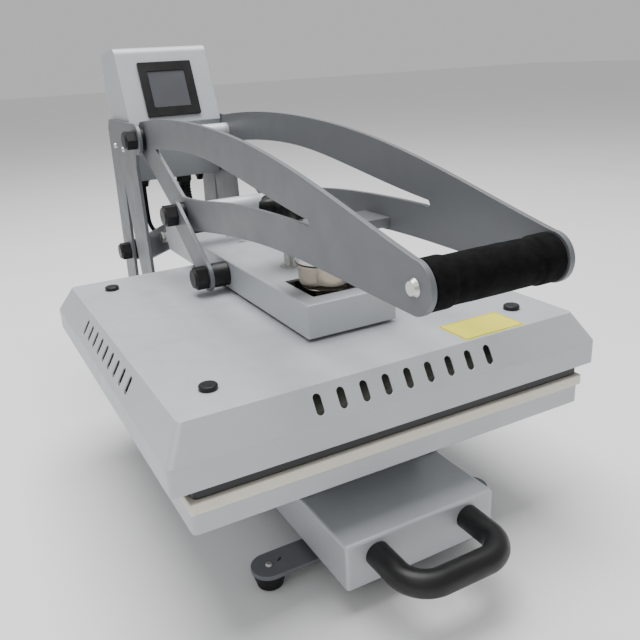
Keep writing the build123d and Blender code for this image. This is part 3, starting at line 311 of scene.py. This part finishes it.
FINISHES = {
    "panel_paint": powder_coat("panel_paint", PANEL_GREY, 0.2, 0.4),
    # plate edges get a strong painted highlight, 2.3 times the plate grey
    "plate_paint": powder_coat("plate_paint", PLATE_GREY, 0.25, 0.42, edge_light=2.3),
    "tube_paint": powder_coat("tube_paint", (0.58, 0.61, 0.62), 0.15, 0.36),
    "zinc_steel": metal("zinc_steel", (0.62, 0.62, 0.6), 0.3),
    "magnet_nickel": metal("magnet_nickel", (0.36, 0.32, 0.26), 0.16, (30, 30, 1400), 0.2),
    "black_plastic": moulded("black_plastic", BLACK, 0.4),
    "black_rubber": moulded("black_rubber", (0.008, 0.008, 0.008), 0.62, 1300, 0.25, 0.3),
    "black_foam": foam_skin("black_foam", (0.0035, 0.0035, 0.0036)),
    "black_paint": moulded("black_paint", BLACK, 0.25, 900, 0.04),
    "screen_glass": display_glass("screen_glass"),
    "circuit_board": moulded("circuit_board", (0.02, 0.12, 0.05), 0.45, 700, 0.3),
    "platen_coating": coated_platen("platen_coating"),
    "insulation": fibre_board("insulation", (0.7, 0.67, 0.58)),
    "silicone": silicone_skin("silicone", (0.80, 0.765, 0.66)),
    "label_yellow": printed("label_yellow", (0.80, 0.74, 0.06)),
    "label_black": printed("label_black", (0.02, 0.02, 0.02)),
    "label_pale": printed("label_pale", (0.62, 0.64, 0.67)),
}


def finish_cad_nodes():
    """Give each CAD node the finish of its material slot."""
    for part in frame["record"]["subparts"]:
        obj = NODES[part["node"]]
        material = FINISHES[part["material_slot"]]
        obj.data.materials.clear()
        obj.data.materials.append(material)


# ================================ mesh helpers ================================================
def piece(name, verts, faces, body, slot, smooth=True):
    """New mesh object that rides on a body and wears one finish."""
    mesh = bpy.data.meshes.new(name)
    mesh.from_pydata([tuple(v) for v in verts], [], faces)
    mesh.validate()
    mesh.update()
    obj = bpy.data.objects.new(name, mesh)
    bpy.context.scene.collection.objects.link(obj)
    for polygon in mesh.polygons:
        polygon.use_smooth = smooth
    mesh.materials.append(FINISHES[slot])
    if body is not None:
        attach(obj, body)
    return obj


def grid_faces(rows, columns):
    """Quads of a grid whose columns close into rings, and its two end caps."""
    faces = []
    for row in range(rows - 1):
        for column in range(columns):
            right = (column + 1) % columns
            a, b = row * columns + column, row * columns + right
            faces.append((a, b, b + columns, a + columns))
    faces.append(tuple(reversed(range(columns))))
    faces.append(tuple((rows - 1) * columns + column for column in range(columns)))
    return faces


def cap_smooth_off(obj, limit=35):
    """Keep sharp corners sharp on a smooth-shaded piece."""
    mesh = obj.data
    mesh.set_sharp_from_angle(angle=math.radians(limit))


def ring_solid(name, rings, columns, body, slot):
    """Closed solid from rings, each a function of the angle that gives a point."""
    verts = []
    for ring in rings:
        for column in range(columns):
            verts.append(ring(TAU * column / columns))
    obj = piece(name, verts, grid_faces(len(rings), columns), body, slot)
    cap_smooth_off(obj)
    return obj


def smooth_path(points, name):
    """Points of the NURBS line that runs along a route given in millimetres."""
    curve = bpy.data.curves.new(name + "_line", "CURVE")
    curve.dimensions = "3D"
    spline = curve.splines.new("NURBS")
    spline.points.add(len(points) - 1)
    for slot_point, place in zip(spline.points, points):
        slot_point.co = (*(part * MM for part in place), 1)
    spline.order_u = 3
    spline.use_endpoint_u = True
    spline.resolution_u = 24
    holder = bpy.data.objects.new(name + "_line", curve)
    line = bpy.data.meshes.new_from_object(holder)
    path = [vertex.co.copy() for vertex in line.vertices]
    bpy.data.objects.remove(holder)
    bpy.data.meshes.remove(line)
    return path


def resample(path, step):
    """Evenly spaced points along a polyline."""
    out = [path[0].copy()]
    carried = 0.0
    for start, end in zip(path, path[1:]):
        run = (end - start).length
        if run < 1e-9:
            continue
        at = step - carried
        while at <= run:
            out.append(start.lerp(end, at / run))
            at += step
        carried = (carried + run) % step
    if (out[-1] - path[-1]).length > step * 0.3:
        out.append(path[-1].copy())
    else:
        out[-1] = path[-1].copy()
    return out


def tube(name, route, step, radius_at, body, slot, columns=28):
    """Tube along a route, its radius a function of the distance run."""
    path = resample(smooth_path(route, name), step)
    across = Vector((1, 0, 0))
    verts = []
    for index, centre in enumerate(path):
        before = path[max(index - 1, 0)]
        after = path[min(index + 1, len(path) - 1)]
        along = (after - before).normalized()
        across = (across - along * across.dot(along)).normalized()
        other = along.cross(across)
        radius = radius_at(index * step)
        for column in range(columns):
            angle = TAU * column / columns
            verts.append(centre + radius * (math.cos(angle) * across + math.sin(angle) * other))
    return piece(name, verts, grid_faces(len(path), columns), body, slot)


# ================================ soft and turned pieces =======================================
def make_grip():
    """Foam sleeve: flared ends, a shallow waist behind each and a slightly uneven body."""
    low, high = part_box("grip_foam")
    centre = (Vector(low) + Vector(high)) / 2
    half = (high[0] - low[0]) / 2
    full = (high[2] - low[2]) / 2
    columns, rows = 96, 110

    def radius(x):
        inset = half - abs(x)
        flare = 1 / (1 + math.exp((inset - GRIP_FLARE) / GRIP_STEP))
        body = full - 1.1 * MM + 0.2 * MM * math.cos(math.pi * x / half)
        round_over = max(0.0, 1 - inset / (2.2 * MM))
        return body + flare * (full - 0.1 * MM - body) - 1.6 * MM * round_over ** 2

    def ring(x, r):
        def point(angle):
            direction = Vector((0, math.cos(angle), math.sin(angle)))
            spot = centre + Vector((x, 0, 0)) + direction * r
            wobble = noise.noise(spot * 90) * 0.22 * MM
            return spot + direction * (wobble - 0.25 * MM if r > GRIP_BORE else 0)
        return point

    xs = [-half * math.cos(math.pi * row / (rows - 1)) for row in range(rows)]
    rings = [ring(x, radius(x)) for x in xs]
    rings = [ring(-half, GRIP_BORE)] + rings + [ring(half, GRIP_BORE)]
    grip = ring_solid("grip_sleeve", rings, columns, "handle", "black_foam")
    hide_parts("grip_foam")


def make_pad():
    """Silicone pad: flat faces, softly rounded rim and slightly wavy cut edges."""
    low, high = (Vector(corner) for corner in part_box("silicone_pad"))
    mesh = bpy.data.meshes.new("pressing_pad")
    bm = bmesh.new()
    bmesh.ops.create_cube(bm, size=1.0)
    size = high - low
    for vertex in bm.verts:
        vertex.co = low + size * 0.5 + Vector([a * b for a, b in zip(vertex.co, size)])
    bmesh.ops.bevel(bm, geom=list(bm.edges), offset=PAD_ROUND, segments=4, affect="EDGES",
                    profile=0.5)
    long_edges = [edge for edge in bm.edges if edge.calc_length() > 0.3]
    bmesh.ops.subdivide_edges(bm, edges=long_edges, cuts=60, use_grid_fill=True)
    middle = (low + high) / 2
    for vertex in bm.verts:
        outward = Vector((0, 0, 0))
        for axis in (0, 1):
            reach = vertex.co[axis] - middle[axis]
            if abs(reach) > size[axis] / 2 - 1.5 * MM:
                outward[axis] = math.copysign(1, reach)
        if outward.length:
            wave = 0.5 + 0.5 * noise.noise(vertex.co * 16) + 0.2 * noise.noise(vertex.co * 70)
            vertex.co -= outward * wave * 0.9 * MM
    bm.to_mesh(mesh)
    bm.free()
    pad = bpy.data.objects.new("pressing_pad", mesh)
    bpy.context.scene.collection.objects.link(pad)
    for polygon in mesh.polygons:
        polygon.use_smooth = True
    cap_smooth_off(pad, 40)
    mesh.materials.append(FINISHES["silicone"])
    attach(pad, "tray")
    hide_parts("silicone_pad")


def make_knob():
    """Star knob with rounded lobes, a dished crown and a short neck."""
    low, high = (Vector(corner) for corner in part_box("pressure_knob"))
    centre = Vector((0, SCREW_Y, 0))
    lobes = 6
    head_low = low.z + 12 * MM

    def ring(z, radius, lobe):
        def point(angle):
            swell = lobe * (abs(math.cos(lobes * angle / 2)) ** 1.6 - 0.5)
            r = radius + swell
            return centre + Vector((r * math.cos(angle), r * math.sin(angle), z))
        return point

    profile = [
        (low.z, 8.2, 0), (low.z, 13.0, 0), (low.z + 0.8 * MM, 13.8, 0),
        (head_low - 1.5 * MM, 14, 0),
        (head_low, 15.5, 0.6), (head_low + 0.2 * MM, 21, 3.5), (head_low + 1.2 * MM, 23.6, 5.4),
        (head_low + 3.2 * MM, 24.9, 6.4), (head_low + 8 * MM, 25.2, 6.8),
        (high.z - 8 * MM, 25.2, 6.8), (high.z - 4 * MM, 24.6, 6.4),
        (high.z - 1.6 * MM, 22.6, 5.0), (high.z - 0.3 * MM, 19.5, 3.2),
        (high.z, 16.5, 1.6), (high.z - 0.4 * MM, 13.2, 0.4), (high.z - 1.8 * MM, 11.6, 0),
        (high.z - 2.2 * MM, 9.0, 0), (high.z - 2.3 * MM, 0.5, 0),
    ]
    rings = [ring(z, radius * MM, lobe * MM) for z, radius, lobe in profile]
    knob = ring_solid("star_knob", rings, 144, "knob", "black_plastic")
    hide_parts("pressure_knob")


def make_pressure_screw():
    """Trapezoid-threaded rod, its flanks running round at a 2 mm pitch."""
    low, high = (Vector(corner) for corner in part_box("pressure_screw"))
    crest = (high.x - low.x) / 2
    step = THREAD_PITCH / 8
    rows = int((high.z - low.z) / step) + 1
    rings = []
    for row in range(rows):
        z = low.z + (high.z - low.z) * row / (rows - 1)

        def point(angle, z=z):
            phase = (z / THREAD_PITCH - angle / TAU) % 1
            cut = min(1.0, max(0.0, abs(phase - 0.5) * 4 - 0.5))
            r = crest - THREAD_DEPTH * cut
            return Vector((r * math.cos(angle), SCREW_Y + r * math.sin(angle), z))

        rings.append(point)
    screw = ring_solid("threaded_rod", rings, 40, "knob", "zinc_steel")
    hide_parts("pressure_screw")


def make_leads():
    """Ribbed heater conduit and plain sensor lead as fixed tubes along their curved routes between
    frame and arm.
    """
    def ribbed(run):
        return CONDUIT_R - 1.1 * MM * (0.5 + 0.5 * math.cos(TAU * run / RIB_PITCH)) ** 1.5

    conduit = tube("ribbed_conduit", CONDUIT_ROUTE, RIB_PITCH / 8, ribbed, None, "black_rubber", 32)
    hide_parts("heater_conduit")
    lead = tube("thin_lead", SENSOR_ROUTE, 2 * MM, lambda run: SENSOR_R, None, "black_rubber", 20)
    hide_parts("sensor_lead")
    for obj, route in ((conduit, CONDUIT_ROUTE), (lead, SENSOR_ROUTE)):
        start = tuple(part * MM for part in route[1])
        end = tuple(part * MM for part in route[-1])
        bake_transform(obj)


def flat_sheet(name, corners, thickness, body, slot):
    """Thin film on a flat face, from its four corners in millimetres."""
    places = [Vector(corner) * MM for corner in corners]
    normal = (places[1] - places[0]).cross(places[2] - places[1]).normalized()
    verts = [place + normal * FILM_LIFT * MM for place in places]
    verts += [place + normal * thickness * MM for place in places]
    sides = [(i, (i + 1) % 4, (i + 1) % 4 + 4, i + 4) for i in range(4)]
    return piece(name, verts, [(3, 2, 1, 0), (4, 5, 6, 7)] + sides, body, slot, smooth=False)


def inset(low, high, by):
    return low + by, high - by


def make_labels():
    """Blank labels: a bordered yellow one on the cover and a pale one on the box."""
    for name, by, thickness, slot in (("label_base", 0, 0.15, "label_yellow"),
                                      ("label_border", 1.2, 0.2, "label_black"),
                                      ("label_field", 1.9, 0.25, "label_yellow")):
        x0, x1 = inset(*LABEL_X, by)
        y0, y1 = inset(*LABEL_Y, by)
        corners = [(x, y, COVER_TOP_Z) for x, y in ((x0, y0), (x1, y0), (x1, y1), (x0, y1))]
        flat_sheet(name, corners, thickness, "platen", slot)
    corners = [(BOX_SIDE_X, y, z) for y, z in BOX_STICKER]
    flat_sheet("box_sticker", corners, 0.2, "frame", "label_pale")


# ================================ studio ========================================================
def make_camera():
    """Camera at the solved place, turned by azimuth, elevation and roll."""
    azimuth, elevation, roll = (math.radians(angle) for angle in
                                (CAMERA_AZIMUTH, CAMERA_ELEVATION, CAMERA_ROLL))
    back = Vector((math.sin(azimuth) * math.cos(elevation),
                   -math.cos(azimuth) * math.cos(elevation), math.sin(elevation)))
    right = Vector((0, 0, 1)).cross(back).normalized()
    up = back.cross(right)
    cam_x = right * math.cos(roll) + up * math.sin(roll)
    cam_y = up * math.cos(roll) - right * math.sin(roll)
    data = bpy.data.cameras.new("camera")
    data.lens = CAMERA_LENS
    data.sensor_width = 36
    data.shift_x, data.shift_y = CAMERA_SHIFT
    data.clip_start = 0.01
    camera = bpy.data.objects.new("camera", data)
    camera.matrix_world = Matrix.Translation(CAMERA_AT) @ Matrix(
        (cam_x, cam_y, back)).transposed().to_4x4()
    bpy.context.scene.collection.objects.link(camera)
    bpy.context.scene.camera = camera


def area_light(name, place, size, power, target=(0, 0, 0.2)):
    data = bpy.data.lights.new(name, "AREA")
    data.shape = "SQUARE"
    data.size = size
    data.energy = power
    light = bpy.data.objects.new(name, data)
    light.location = place
    aim = Vector(target) - Vector(place)
    light.rotation_euler = aim.to_track_quat("-Z", "Y").to_euler()
    bpy.context.scene.collection.objects.link(light)


def make_studio():
    """Pale floor, even white surroundings and a broad soft light from above."""
    mesh = bpy.data.meshes.new("floor")
    reach = FLOOR_REACH
    mesh.from_pydata([(-reach, -reach, 0), (reach, -reach, 0), (reach, reach, 0),
                      (-reach, reach, 0)], [], [(0, 1, 2, 3)])
    floor = bpy.data.objects.new("floor", mesh)
    bpy.context.scene.collection.objects.link(floor)
    f = Finish("floor_paint", (0.86, 0.86, 0.86), 0.9)
    tone = f.mix(f.ranged(f.noise(3, 3), 0.3, 0.7), (0.85, 0.85, 0.85), (0.88, 0.88, 0.88))
    mesh.materials.append(f.done(tone))

    world = bpy.data.worlds.new("studio")
    world.use_nodes = True
    background = world.node_tree.nodes["Background"]
    background.inputs["Color"].default_value = (1, 1, 1, 1)
    background.inputs["Strength"].default_value = SKY_STRENGTH
    bpy.context.scene.world = world
    for name, place, size, power in LIGHTS:
        area_light(name, place, size, power)


finish_cad_nodes()
make_camera()
make_studio()
make_grip()
make_pad()
make_knob()
make_pressure_screw()
make_leads()
make_labels()
